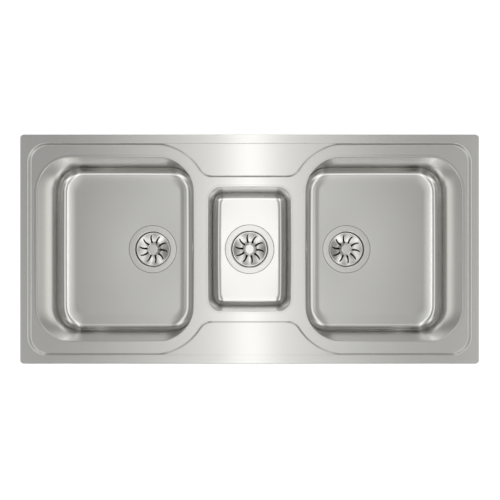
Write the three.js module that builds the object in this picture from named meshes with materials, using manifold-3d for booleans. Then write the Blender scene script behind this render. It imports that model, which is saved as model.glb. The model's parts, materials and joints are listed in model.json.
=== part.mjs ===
// Inset kitchen sink in pressed stainless steel: two main bowls, a half bowl between
// them, three basket strainers, two overflows and the fixing clips under its rim.
//
// Millimetres, +Z up. X runs along the sink, +Y is its rear edge. The origin is the
// centre of the sink on the plane of the worktop that it rests on, and the pressed
// recess around the bowls lies in that same plane.

import * as THREE from 'three';
import { mergeVertices } from 'three/addons/utils/BufferGeometryUtils.js';
import Module from 'manifold-3d';

// ---------------------------------------------------------------- driving dimensions

const GAP = 0.3; // left between pieces that touch
const SHEET = 1;

// Deck: outer rim, pressed step and recess
const SINK_LENGTH = 1000;
const SINK_WIDTH = 500;
const SINK_CORNER_R = 8;
const RIM_TOP_Z = 5;
const RIM_EDGE_Z = 0.8;
const RIM_BEVEL = 1;
const STEP_TOP = { halfX: 482.8, halfY: 231.2, r: 42 };
const STEP_FOOT = { halfX: 475.5, halfY: 225.6, r: 36 };
const RECESS_Z = 0;

// Raised fields in front of and behind the half bowl
const FIELD_Z = 3.8;
const FIELD_FLAT_HALF = 81.4;
const FIELD_EDGE_Y = 160;
const FIELD_FOOT_R = 30;
const FIELD_SHOULDER_R = 124;
const FIELD_SLOPE = 3.4;

// Bowls: outlines of the opening and of the foot of the walls. Below the foot the sheet
// bends in by the fillet and then runs out into the floor over the blend. On the inner
// side each of them is wider or narrower by its share.
const LIP_R = 1.5;
const LIP_FLAT = 4.5;
const WALL_STEEP = 86;
const BLEND_STEEP = 6;
const MAIN_BOWL = {
  open: { x0: -462.2, x1: -123.8, halfY: 199, r: 73, bow: 1.3 },
  foot: { x0: -459, x1: -130.5, halfY: 194.7, r: 57, bow: 1.2 },
  depth: 180,
  fillet: 21.5,
  blend: 22,
  filletShare: 1.3,
  blendShare: 0.7,
};
const HALF_BOWL = {
  open: { x0: -88.5, x1: 88.5, halfY: 134.2, r: 26, bow: 1.5 },
  foot: { x0: -85, x1: 85, halfY: 129.5, r: 24, bow: 1.4 },
  depth: 125,
  fillet: 18.5,
  blend: 4,
  filletShare: 1,
  blendShare: 1,
};

// Basket strainers
const DRAIN_X = 234.8;
const FLANGE_R = 57;
const FLANGE_SEAT_R = 58.4;
const FLANGE_SEAT_DEPTH = 2.6;
const DRAIN_HOLE_R = 46;
const CUP_R = 41.8;
const CUP_DEPTH = 34;
const BASKET_R = 40.6;
const BASKET_TOP = 9.5;
const BASKET_DEPTH = 12;
const DISH_R = 38.6;
const DISH_FLAT_R = 12;
const BASKET_SLOTS = 10;
const SLOT_WIDTH = 3;
const KNOB_ACROSS = 23;
const KNOB_TOP = 5.5;
const STOPPER_R = 21;
const WASTE_SCREW_R = 3;
const OUTLET_R = 24;
const OUTLET_BORE_R = 20;
const OUTLET_LENGTH = 42;

// Overflows, in the bowl walls next to the half bowl
const OVERFLOW_Z = -38;
const OVERFLOW_HOLE_R = 11;
const OVERFLOW_PLATE_R = 17;
const OVERFLOW_PIPE_X = 106;
const OVERFLOW_PIPE_R = 9;
const SPOUT_LENGTH = 34; // from the overflow's middle down to the end of its spout
const WALL_LEAN = 1.2; // how far the sloping wall leans over the height of the plate
const INLET_DEPTH = 30; // side inlets of the wastes, below the bowl floor
const INLET_REACH = 62;

// Fixing rails and clips
const RAIL_TOP_Z = -SHEET - GAP;
const RAIL_WIDTH = 15;
const RAIL_DROP = 16;
const RAIL_GAUGE = 1.5;
const CLIP_SCREW_R = 2.5;
const CLIP_ARM_Z = -44;
const CLIP_ARM_LENGTH = 25;
const CLIP_WIDTH = 14;
const CLIP_GAUGE = 2;

// ---------------------------------------------------------------- finishes

const finishes = {
  steel: { color: 0xbdbcb6, metalness: 1, roughness: 0.34 },
  polishedSteel: { color: 0xc9c8c4, metalness: 1, roughness: 0.18 },
  zincSteel: { color: 0xa9adb0, metalness: 1, roughness: 0.42 },
  rubber: { color: 0x1b1b1c, metalness: 0, roughness: 0.85 },
  foam: { color: 0x3a3a3c, metalness: 0, roughness: 0.95 },
  pad: { color: 0x55565a, metalness: 0, roughness: 0.92 },
  plastic: { color: 0xe6e6e3, metalness: 0, roughness: 0.45 },
};

// ---------------------------------------------------------------- solid helpers

const wasm = await Module();
wasm.setup();

function signedVolume(geometry) {
  const p = geometry.attributes.position;
  const index = geometry.index;
  const a = new THREE.Vector3();
  const b = new THREE.Vector3();
  const c = new THREE.Vector3();
  let volume = 0;
  for (let i = 0; i < index.count; i += 3) {
    a.fromBufferAttribute(p, index.getX(i));
    b.fromBufferAttribute(p, index.getX(i + 1));
    c.fromBufferAttribute(p, index.getX(i + 2));
    volume += a.dot(b.cross(c)) / 6;
  }
  return volume;
}

// Positions only, shared vertices merged, faces turned outwards.
function closed(geometry) {
  const bare = new THREE.BufferGeometry();
  bare.setAttribute('position', geometry.attributes.position.clone());
  if (geometry.index) {
    bare.setIndex(geometry.index.clone());
  }
  const merged = mergeVertices(bare, 1e-4);
  const kept = [];
  for (let i = 0; i < merged.index.count; i += 3) {
    const tri = [0, 1, 2].map((k) => merged.index.getX(i + k));
    if (new Set(tri).size === 3) {
      kept.push(...tri);
    }
  }
  merged.setIndex(kept);
  if (signedVolume(merged) < 0) {
    for (let i = 0; i < kept.length; i += 3) {
      [kept[i + 1], kept[i + 2]] = [kept[i + 2], kept[i + 1]];
    }
    merged.setIndex(kept);
  }
  return merged;
}

function toSolid(geometry) {
  const body = closed(geometry);
  return new wasm.Manifold(new wasm.Mesh({
    numProp: 3,
    vertProperties: new Float32Array(body.attributes.position.array),
    triVerts: new Uint32Array(body.index.array),
  }));
}

function toGeometry(solid) {
  const mesh = solid.getMesh();
  const geometry = new THREE.BufferGeometry();
  geometry.setAttribute('position', new THREE.BufferAttribute(mesh.vertProperties, 3));
  geometry.setIndex(new THREE.BufferAttribute(mesh.triVerts, 1));
  return geometry;
}

function cut(geometry, ...tools) {
  let solid = toSolid(geometry);
  for (const tool of tools) {
    solid = solid.subtract(toSolid(tool));
  }
  return toGeometry(solid);
}

function join(geometry, ...others) {
  let solid = toSolid(geometry);
  for (const other of others) {
    solid = solid.add(toSolid(other));
  }
  return toGeometry(solid);
}

// A skin through rings of equal count. A loop of rings joins its last ring to its
// first; otherwise both ends are capped.
function loft(rings, loop = false) {
  const count = rings[0].length;
  const positions = rings.flat().flatMap((p) => [p.x, p.y, p.z]);
  const index = [];
  const bands = loop ? rings.length : rings.length - 1;
  for (let r = 0; r < bands; r += 1) {
    const low = r * count;
    const high = ((r + 1) % rings.length) * count;
    for (let i = 0; i < count; i += 1) {
      const j = (i + 1) % count;
      index.push(low + i, low + j, high + j, low + i, high + j, high + i);
    }
  }
  if (!loop) {
    for (const [ring, flip] of [[0, true], [rings.length - 1, false]]) {
      const outline = rings[ring].map((p) => new THREE.Vector2(p.x, p.y));
      for (const tri of THREE.ShapeUtils.triangulateShape(outline, [])) {
        const [a, b, c] = tri.map((k) => k + ring * count);
        index.push(a, flip ? c : b, flip ? b : c);
      }
    }
  }
  const geometry = new THREE.BufferGeometry();
  geometry.setAttribute('position', new THREE.Float32BufferAttribute(positions, 3));
  geometry.setIndex(index);
  return closed(geometry);
}

function atHeight(outline, z) {
  return outline.map((p) => new THREE.Vector3(p.x, p.y, z));
}

function prism(outline, z0, z1) {
  return loft([atHeight(outline, z0), atHeight(outline, z1)]);
}

function lathe(profile, segments) {
  const points = profile.map(([r, z]) => new THREE.Vector2(r, z));
  return closed(new THREE.LatheGeometry(points, segments).rotateX(Math.PI / 2));
}

// A closed lathe section: the profile runs back to its first point.
function ring(profile, segments) {
  return lathe([...profile, profile[0]], segments);
}

function rod(radius, z0, z1, segments = 16) {
  return new THREE.CylinderGeometry(radius, radius, z1 - z0, segments)
    .rotateX(Math.PI / 2)
    .translate(0, 0, (z0 + z1) / 2);
}

function block(x0, x1, y0, y1, z0, z1) {
  return new THREE.BoxGeometry(x1 - x0, y1 - y0, z1 - z0)
    .translate((x0 + x1) / 2, (y0 + y1) / 2, (z0 + z1) / 2);
}

// ---------------------------------------------------------------- outlines

// Rounded rectangle, anticlockwise, whose sides bow outwards by `bow` at their middle.
function roundedBox({ x0, x1, halfY, r, bow = 0 }, cornerSteps = 6, sideSteps = 1) {
  const cx = (x0 + x1) / 2;
  const halfX = (x1 - x0) / 2;
  const flat = [];
  const corners = [[1, 1], [-1, 1], [-1, -1], [1, -1]];
  corners.forEach(([sx, sy], corner) => {
    const centre = new THREE.Vector2(sx * (halfX - r), sy * (halfY - r));
    for (let k = 0; k <= cornerSteps; k += 1) {
      const angle = (corner + k / cornerSteps) * Math.PI / 2;
      flat.push(new THREE.Vector2(r * Math.cos(angle), r * Math.sin(angle)).add(centre));
    }
    const last = flat[flat.length - 1];
    const [nx, ny] = corners[(corner + 1) % 4];
    const alongX = corner % 2 === 0;
    const next = new THREE.Vector2(
      nx * (alongX ? halfX - r : halfX),
      ny * (alongX ? halfY : halfY - r),
    );
    for (let k = 1; k < sideSteps; k += 1) {
      flat.push(last.clone().lerp(next, k / sideSteps));
    }
  });
  return flat.map((p) => {
    const u = p.x / halfX;
    const v = p.y / halfY;
    return new THREE.Vector2(
      cx + p.x + bow * u * (1 - v * v),
      p.y + bow * v * (1 - u * u),
    );
  });
}

function centredBox({ halfX, halfY, r }, grow = 0, cornerSteps = 6) {
  const box = { x0: -halfX - grow, x1: halfX + grow, halfY: halfY + grow, r: r + grow };
  return roundedBox(box, cornerSteps);
}

// One of a bowl's outlines, grown by `grow` all round.
function bowlOutline({ x0, x1, halfY, r, bow }, grow) {
  return roundedBox({
    x0: x0 - grow, x1: x1 + grow, halfY: halfY + grow, r: r + grow, bow,
  }, 5, 2);
}

// How far a bowl's fillet reaches in from the foot of its walls.
function filletReach({ fillet }) {
  const { degToRad } = THREE.MathUtils;
  return fillet * (Math.sin(degToRad(WALL_STEEP)) - Math.sin(degToRad(BLEND_STEEP)));
}

// Outline of a bowl's fillet and floor, `wayIn` from the foot of its walls.
function filletOutline(bowl, wayIn, grow) {
  const { foot, filletShare, blendShare } = bowl;
  const inFillet = Math.min(wayIn, filletReach(bowl));
  const inner = inFillet * filletShare + (wayIn - inFillet) * blendShare;
  const outline = {
    x0: foot.x0 + wayIn,
    x1: foot.x1 - inner,
    halfY: foot.halfY - wayIn,
    r: foot.r - wayIn,
    bow: foot.bow,
  };
  return bowlOutline(outline, grow);
}

// Raised field behind the half bowl: a flat front edge, a hollow curve at each end of
// it, and a wide shoulder that runs out along the pressed step.
function fieldOutline(grow) {
  const footR = FIELD_FOOT_R - grow;
  const shoulderR = FIELD_SHOULDER_R + grow;
  const footY = FIELD_EDGE_Y + FIELD_FOOT_R;
  const shoulderY = STEP_TOP.halfY - FIELD_SHOULDER_R;
  const span = FIELD_FOOT_R + FIELD_SHOULDER_R;
  const rise = footY - shoulderY;
  const shoulderX = FIELD_FLAT_HALF + Math.sqrt(span * span - rise * rise);
  const meet = Math.atan2(rise, FIELD_FLAT_HALF - shoulderX);
  const half = [];
  const footSteps = 5;
  for (let k = 0; k <= footSteps; k += 1) {
    const angle = THREE.MathUtils.lerp(-Math.PI / 2, meet - Math.PI, k / footSteps);
    half.push([FIELD_FLAT_HALF + footR * Math.cos(angle), footY + footR * Math.sin(angle)]);
  }
  const shoulderSteps = 7;
  for (let k = 1; k <= shoulderSteps; k += 1) {
    const angle = THREE.MathUtils.lerp(meet, Math.PI / 2, k / shoulderSteps);
    half.push([shoulderX + shoulderR * Math.cos(angle), shoulderY + shoulderR * Math.sin(angle)]);
  }
  const backY = STEP_TOP.halfY + 8;
  half.push([half[half.length - 1][0], backY]);
  const right = half.map(([x, y]) => new THREE.Vector2(x, y));
  const left = right.map((p) => new THREE.Vector2(-p.x, p.y)).reverse();
  return [...right, ...left];
}

// ---------------------------------------------------------------- deck

// Everything below the deck's upper face, lowered by `drop` and with its outer edge
// drawn in by `inset`.
function deckBlock(drop, inset) {
  const base = -20 - drop;
  const edge = { halfX: SINK_LENGTH / 2, halfY: SINK_WIDTH / 2, r: SINK_CORNER_R };
  const rimBottom = inset > 0 ? base : RIM_EDGE_Z;
  const rim = loft([
    atHeight(centredBox(edge, -inset, 4), rimBottom),
    atHeight(centredBox(edge, -inset, 4), RIM_TOP_Z - drop - RIM_BEVEL),
    atHeight(centredBox(edge, -inset - RIM_BEVEL, 4), RIM_TOP_Z - drop),
  ]);
  const under = prism(centredBox(STEP_TOP, 2), base, RIM_TOP_Z - drop - 0.5);
  const above = 10;
  const pocket = loft([
    atHeight(centredBox(STEP_FOOT), RECESS_Z - drop),
    atHeight(centredBox(STEP_TOP), RIM_TOP_Z - drop),
    atHeight(centredBox(STEP_TOP), above),
  ]);
  let solid = toSolid(rim).add(toSolid(under)).subtract(toSolid(pocket));
  for (const side of [1, -1]) {
    const field = loft([
      atHeight(fieldOutline(FIELD_SLOPE), RECESS_Z - drop - 0.5),
      atHeight(fieldOutline(FIELD_SLOPE), RECESS_Z - drop),
      atHeight(fieldOutline(0), FIELD_Z - drop),
    ]).scale(1, side, 1);
    solid = solid.add(toSolid(field));
  }
  return solid;
}

function deckGeometry() {
  let solid = deckBlock(0, 0).subtract(deckBlock(SHEET, SHEET));
  for (const { bowl, mirror } of bowls) {
    const edge = bowlOutline(bowl.open, LIP_R + LIP_FLAT + GAP);
    const hole = prism(edge, -30, 30).scale(mirror, 1, 1);
    solid = solid.subtract(toSolid(hole));
  }
  return toGeometry(solid);
}

// ---------------------------------------------------------------- bowls

const bowls = [
  { name: 'left', bowl: MAIN_BOWL, mirror: 1, drainX: -DRAIN_X, main: true },
  { name: 'centre', bowl: HALF_BOWL, mirror: 1, drainX: 0, main: false },
  { name: 'right', bowl: MAIN_BOWL, mirror: -1, drainX: DRAIN_X, main: true },
];

// One face of a bowl's sheet from its lip to its floor, `skin` below the inner face,
// as rings.
function bowlFace(bowl, skin) {
  const { open, depth, fillet, blend } = bowl;
  const { sin, cos } = Math;
  const rings = [];
  const addLip = (grow, z) => rings.push(atHeight(bowlOutline(open, grow), z));
  addLip(LIP_R + LIP_FLAT, RECESS_Z - skin);
  for (const turn of [0, 45, 90]) {
    const angle = THREE.MathUtils.degToRad(turn);
    const r = LIP_R - skin;
    addLip(LIP_R - r * sin(angle), RECESS_Z - LIP_R + r * cos(angle));
  }
  const steepest = THREE.MathUtils.degToRad(WALL_STEEP);
  const last = THREE.MathUtils.degToRad(BLEND_STEEP);
  const easyR = blend / sin(last);
  const filletFoot = -depth + easyR * (1 - cos(last));
  for (const turn of [WALL_STEEP, 60, 40, 22, BLEND_STEEP]) {
    const steep = THREE.MathUtils.degToRad(turn);
    const wayIn = fillet * (sin(steepest) - sin(steep));
    const z = filletFoot + fillet * (cos(last) - cos(steep)) - skin * cos(steep);
    rings.push(atHeight(filletOutline(bowl, wayIn, skin * sin(steep)), z));
  }
  rings.push(atHeight(filletOutline(bowl, filletReach(bowl) + blend, 0), -depth - skin));
  return rings;
}

// Bowl with a pressed round seat in its floor for the strainer's flange.
function bowlGeometry({ bowl, drainX, mirror, main }) {
  const shell = loft([...bowlFace(bowl, 0).reverse(), ...bowlFace(bowl, SHEET)]);
  const seatZ = -bowl.depth - FLANGE_SEAT_DEPTH;
  const atDrain = (part) => part.translate(drainX * mirror, 0, 0);
  const dish = rod(FLANGE_SEAT_R + SHEET, seatZ - SHEET, -bowl.depth - SHEET / 2, 32);
  const recess = rod(FLANGE_SEAT_R, seatZ, -bowl.depth + 5, 32);
  const hole = rod(DRAIN_HOLE_R, seatZ - 5, seatZ + 5, 32);
  let geometry = cut(join(shell, atDrain(dish)), atDrain(recess), atDrain(hole));
  if (main) {
    const overflowHole = rod(OVERFLOW_HOLE_R, -15, 15, 20)
      .rotateY(Math.PI / 2)
      .translate(bowl.open.x1, 0, OVERFLOW_Z);
    geometry = cut(geometry, overflowHole);
  }
  return geometry.scale(mirror, 1, 1);
}

// Sound-deadening pad glued under a main bowl's floor, with a hole around the strainer.
function padGeometry({ bowl, drainX, mirror }) {
  const top = -bowl.depth - SHEET - GAP;
  const inset = 46;
  const outline = filletOutline(bowl, inset, 0);
  const pad = prism(outline, top - 2, top);
  const hole = rod(FLANGE_SEAT_R + 8, top - 5, top + 5, 32).translate(drainX * mirror, 0, 0);
  return cut(pad, hole).scale(mirror, 1, 1);
}

// ---------------------------------------------------------------- strainers

// Heights in this section are measured from the bowl's floor.

function cupGeometry() {
  const wallTop = CUP_R + 3;
  const seat = FLANGE_SEAT_DEPTH - GAP;
  const profile = [
    [FLANGE_R, -seat],
    [FLANGE_R, -0.8],
    [FLANGE_R - 0.8, 0],
    [wallTop, 0],
    [CUP_R, -3],
    [CUP_R, -15],
    [CUP_R - 12, -CUP_DEPTH + 1],
    [WASTE_SCREW_R + GAP, -CUP_DEPTH + 1],
    [WASTE_SCREW_R + GAP, -CUP_DEPTH],
    [CUP_R - 11.5, -CUP_DEPTH],
    [CUP_R + 1, -15.2],
    [CUP_R + 1, -seat],
  ];
  const holes = [];
  const count = 8;
  for (let k = 0; k < count; k += 1) {
    const angle = (k / count) * 2 * Math.PI;
    const hole = rod(3.8, -CUP_DEPTH - 3, -CUP_DEPTH + 4, 6);
    holes.push(hole.translate(13 * Math.cos(angle), 13 * Math.sin(angle), 0));
  }
  return cut(ring(profile, 20), ...holes);
}

// Rubber ring squeezed between the underside of the bowl floor and the waste body.
function wasteSealGeometry() {
  const top = -FLANGE_SEAT_DEPTH - SHEET - GAP;
  return ring([[44, top], [55, top], [55, top - 3], [44, top - 3]], 24);
}

// One curved slot of the strainer basket, as a cutting block.
function slotGeometry(turn) {
  const inner = 14.6;
  const outer = 34.6;
  const steps = 4;
  const centre = [];
  for (let k = 0; k <= steps; k += 1) {
    const s = k / steps;
    const angle = turn + THREE.MathUtils.degToRad(-6 + 10.5 * s - 15 * s * s);
    const r = THREE.MathUtils.lerp(inner, outer, s);
    centre.push(new THREE.Vector2(r * Math.cos(angle), r * Math.sin(angle)));
  }
  const edge = (side) => centre.map((p, k) => {
    const before = centre[Math.max(k - 1, 0)];
    const after = centre[Math.min(k + 1, steps)];
    const along = after.clone().sub(before).normalize();
    const half = (k === 0 || k === steps ? 0.3 : 0.5) * SLOT_WIDTH * side;
    return new THREE.Vector2(p.x - along.y * half, p.y + along.x * half);
  });
  return prism([...edge(-1), ...edge(1).reverse()], -BASKET_TOP - BASKET_DEPTH - 3, -BASKET_TOP + 1);
}

function basketGeometry() {
  const bottom = -BASKET_TOP - BASKET_DEPTH;
  const upper = [];
  const lower = [];
  for (const r of [BASKET_R - 1.6, 36, 30, 21, DISH_FLAT_R]) {
    const across = Math.sqrt(DISH_R ** 2 - (r - DISH_FLAT_R) ** 2);
    const z = bottom + 1 + DISH_R - across;
    upper.push([r, z]);
    lower.unshift([r, z - DISH_R / across]);
  }
  const profile = [
    [BASKET_R, -BASKET_TOP],
    ...upper,
    [3.4, bottom + 1],
    [3.4, bottom],
    ...lower,
    [BASKET_R, -BASKET_TOP - 1.4],
  ];
  const slots = [];
  for (let k = 0; k < BASKET_SLOTS; k += 1) {
    slots.push(slotGeometry((k / BASKET_SLOTS) * 2 * Math.PI));
  }
  return cut(ring(profile, 20), ...slots);
}

// Eight-sided knob on a round neck, with a stem through the basket and the stopper.
function knobGeometry() {
  const foot = -BASKET_TOP - BASKET_DEPTH + 1 + GAP;
  const flatToCorner = 1 / Math.cos(Math.PI / 8);
  const head = (across, z) => {
    const points = [];
    for (let k = 0; k < 8; k += 1) {
      const angle = (k + 0.5) * Math.PI / 4;
      const r = (across / 2) * flatToCorner;
      points.push(new THREE.Vector3(r * Math.cos(angle), r * Math.sin(angle), z));
    }
    return points;
  };
  const cap = loft([
    head(KNOB_ACROSS - 8, -KNOB_TOP - 8.5),
    head(KNOB_ACROSS, -KNOB_TOP - 5),
    head(KNOB_ACROSS, -KNOB_TOP - 1),
    head(KNOB_ACROSS - 2, -KNOB_TOP),
  ]);
  const neck = lathe([[0, foot], [9, foot], [6.5, foot + 3], [6, -KNOB_TOP - 6], [0, -KNOB_TOP - 6]], 16);
  const stem = rod(2.9, -CUP_DEPTH + 4.7, foot + 1, 10);
  return join(cap, neck, stem);
}

function stopperGeometry() {
  const top = -CUP_DEPTH + 8.2;
  const foot = -CUP_DEPTH + 1 + GAP;
  return ring([
    [3.2, top],
    [STOPPER_R - 4, top],
    [STOPPER_R, foot + 2.2],
    [STOPPER_R, foot],
    [7, foot],
    [7, foot + 3.2],
    [3.2, foot + 3.2],
  ], 16);
}

// Moulded waste body: a collar under the seal, a hopper, a ribbed hub for the screw
// and the outlet tube, with a side inlet where an overflow pipe joins.
function wasteGeometry(inletTurn) {
  const top = -FLANGE_SEAT_DEPTH - SHEET - 2 * GAP - 3;
  const hopperFoot = -64;
  const outletFoot = hopperFoot - OUTLET_LENGTH;
  const shell = ring([
    [46, top],
    [54, top],
    [54, top - 5],
    [48, -44],
    [OUTLET_R, hopperFoot - 1],
    [OUTLET_R, outletFoot],
    [OUTLET_BORE_R, outletFoot],
    [OUTLET_BORE_R, hopperFoot],
    [45, -43],
  ], 20);
  const ribs = [0, 1].map((k) => block(-45.5, 45.5, -1.2, 1.2, -57, -39)
    .rotateZ(k * Math.PI / 2));
  const hub = rod(6, -58, -35.2, 10);
  const hopperSpace = lathe([
    [0, hopperFoot + 8], [29, hopperFoot + 8], [46.5, -44], [46.5, -30], [0, -30],
  ], 20);
  const spider = toGeometry(
    toSolid(join(hub, ...ribs)).intersect(toSolid(hopperSpace)),
  );
  const screwHole = rod(WASTE_SCREW_R + GAP, -54, -30, 10);
  let body = cut(join(shell, spider), screwHole);
  if (inletTurn !== null) {
    const stub = rod(OVERFLOW_PIPE_R + 2, 43, INLET_REACH, 12).rotateY(Math.PI / 2);
    const bore = rod(OVERFLOW_PIPE_R - 2, 30, INLET_REACH + 8, 12).rotateY(Math.PI / 2);
    const place = (part) => part.translate(0, 0, -INLET_DEPTH).rotateZ(inletTurn);
    body = cut(join(body, place(stub)), place(bore));
  }
  return body;
}

function wasteScrewGeometry() {
  const headFoot = -CUP_DEPTH + 1 + GAP;
  const shank = rod(WASTE_SCREW_R, -52, headFoot + 0.5, 8);
  const head = rod(5.6, headFoot, headFoot + 2.2, 12);
  const slot = block(-7, 7, -0.5, 0.5, headFoot + 1.2, headFoot + 4);
  return cut(join(shank, head), slot);
}

// ---------------------------------------------------------------- overflows

// Built for the left bowl's inner wall, lying down: Z is measured from the wall's face
// and points into the bowl, and each piece is then turned to face the bowl.

function standUp(geometry) {
  return geometry.rotateY(-Math.PI / 2);
}

function overflowPlateGeometry() {
  const back = WALL_LEAN + GAP;
  const plate = lathe([
    [0, back], [OVERFLOW_PLATE_R, back], [OVERFLOW_PLATE_R, back + 0.8],
    [OVERFLOW_PLATE_R - 1.2, back + 1.8], [0, back + 1.8],
  ], 20);
  const holes = [rod(2.3, -5, 6, 8)];
  const count = 6;
  for (let k = 0; k < count; k += 1) {
    const angle = ((k + 0.5) / count) * 2 * Math.PI;
    holes.push(rod(2.6, -5, 6, 6).translate(8 * Math.cos(angle), 8 * Math.sin(angle), 0));
  }
  return standUp(cut(plate, ...holes));
}

function overflowScrewGeometry() {
  const under = WALL_LEAN + GAP + 1.8 + GAP;
  const head = lathe([[0, under], [4.4, under], [3.4, under + 1.7], [0, under + 1.9]], 12);
  const shank = rod(2, -16, under + 0.3, 8);
  return standUp(join(head, shank));
}

// Elbow behind the wall: a round box with a spout pointing down.
function overflowElbowGeometry() {
  const front = -SHEET - WALL_LEAN - 2 * GAP;
  const back = -26;
  const box = standUp(ring([
    [OVERFLOW_HOLE_R - 0.5, front],
    [19, front],
    [19, front - 3],
    [16, front - 5],
    [16, back],
    [2.3, back],
    [2.3, -15],
    [4.6, -15],
    [4.6, back + 2.5],
    [13.5, back + 2.5],
    [13.5, front - 4],
    [OVERFLOW_HOLE_R - 0.5, front - 4],
  ], 18));
  const spoutX = -MAIN_BOWL.open.x1 - OVERFLOW_PIPE_X;
  const spout = rod(7, -SPOUT_LENGTH, -14, 12).translate(spoutX, 0, 0);
  const bore = rod(5, -SPOUT_LENGTH - 6, -12, 12).translate(spoutX, 0, 0);
  return cut(join(box, spout), bore);
}

// Smooth overflow pipe from the elbow's spout down to the side inlet of the waste.
function overflowPipeGeometry() {
  const top = OVERFLOW_Z - SPOUT_LENGTH - GAP;
  const inletZ = -MAIN_BOWL.depth - INLET_DEPTH;
  const inletX = -DRAIN_X + INLET_REACH + GAP;
  const bend = 34;
  // The centre line, and how far it has turned from straight down towards the waste
  const stations = [{ x: -OVERFLOW_PIPE_X, z: top, turn: 0 }];
  const bendSteps = 5;
  for (let k = 0; k <= bendSteps; k += 1) {
    const turn = (k / bendSteps) * Math.PI / 2;
    stations.push({
      x: -OVERFLOW_PIPE_X - bend * (1 - Math.cos(turn)),
      z: inletZ + bend * (1 - Math.sin(turn)),
      turn,
    });
  }
  stations.push({ x: inletX, z: inletZ, turn: Math.PI / 2 });
  const section = (radius) => stations.map(({ x, z, turn }) => {
    const sides = 12;
    const points = [];
    for (let k = 0; k < sides; k += 1) {
      const angle = (k / sides) * 2 * Math.PI;
      const across = radius * Math.cos(angle);
      points.push(new THREE.Vector3(
        x + across * Math.cos(turn),
        radius * Math.sin(angle),
        z - across * Math.sin(turn),
      ));
    }
    return points;
  });
  return loft([...section(OVERFLOW_PIPE_R), ...section(OVERFLOW_PIPE_R - 1.5).reverse()], true);
}

// ---------------------------------------------------------------- rim seal, rails, clips

function gasketGeometry() {
  const outer = { halfX: SINK_LENGTH / 2, halfY: SINK_WIDTH / 2, r: SINK_CORNER_R };
  const top = RIM_TOP_Z - SHEET - GAP;
  const inset = SHEET + RIM_BEVEL + GAP;
  const strip = prism(centredBox(outer, -inset, 3), 0, top);
  const inside = prism(centredBox({ ...outer, r: 14 }, -inset - 8, 3), -1, top + 1);
  return cut(strip, inside);
}

// A rail along +X under the deck with its web towards the bowls, and the holes that
// the clip screws thread into.
function railGeometry(length, holeAt) {
  const flange = block(-length / 2, length / 2, -RAIL_WIDTH / 2, RAIL_WIDTH / 2, -RAIL_GAUGE, 0);
  const web = block(-length / 2, length / 2, RAIL_WIDTH / 2 - RAIL_GAUGE, RAIL_WIDTH / 2, -RAIL_DROP, 0);
  const holes = holeAt.map((x) => rod(CLIP_SCREW_R + GAP, -5, 5, 8).translate(x, 0, 0));
  return cut(join(flange, web), ...holes).translate(0, 0, RAIL_TOP_Z);
}

// Claw of a fixing clip, parked along +X: a flat arm on the screw, with a toothed tip
// that turns under the worktop.
function clawGeometry() {
  const shape = new THREE.Shape();
  const tipRise = 6;
  const heel = 7;
  shape.moveTo(-heel, 0);
  shape.lineTo(-heel, 5);
  shape.lineTo(-heel + CLIP_GAUGE, 5);
  shape.lineTo(-heel + CLIP_GAUGE, CLIP_GAUGE);
  shape.lineTo(CLIP_ARM_LENGTH - CLIP_GAUGE - 2, CLIP_GAUGE);
  shape.lineTo(CLIP_ARM_LENGTH - CLIP_GAUGE, tipRise);
  shape.lineTo(CLIP_ARM_LENGTH, tipRise);
  shape.lineTo(CLIP_ARM_LENGTH, 0);
  shape.closePath();
  const arm = new THREE.ExtrudeGeometry(shape, { depth: CLIP_WIDTH, bevelEnabled: false })
    .rotateX(Math.PI / 2)
    .translate(0, CLIP_WIDTH / 2, CLIP_ARM_Z);
  const notches = [-1, 1].map((side) => block(
    CLIP_ARM_LENGTH - 5, CLIP_ARM_LENGTH + 1, side * 2.4 - 1.1, side * 2.4 + 1.1,
    CLIP_ARM_Z + 3.5, CLIP_ARM_Z + 8,
  ));
  const hole = rod(CLIP_SCREW_R + GAP, CLIP_ARM_Z - 2, CLIP_ARM_Z + 5, 8);
  return cut(arm, ...notches, hole);
}

function clipScrewGeometry() {
  const headTop = CLIP_ARM_Z - GAP;
  const shank = rod(CLIP_SCREW_R, headTop - 1, RAIL_TOP_Z - 0.2, 8);
  const washer = rod(6, headTop - 1.2, headTop, 10);
  const head = rod(4.6, headTop - 5, headTop - 1, 6);
  const slot = block(-6, 6, -0.5, 0.5, headTop - 7, headTop - 3.6);
  return cut(join(shank, washer, head), slot);
}

// ---------------------------------------------------------------- assembly

const sink = new THREE.Group();

function addPiece(name, finish, geometry, parent = sink) {
  const material = new THREE.MeshStandardMaterial(finishes[finish]);
  const mesh = new THREE.Mesh(closed(geometry), material);
  mesh.name = name;
  parent.add(mesh);
  return mesh;
}

addPiece('deck', 'steel', deckGeometry());
addPiece('rim_gasket', 'foam', gasketGeometry());

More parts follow.
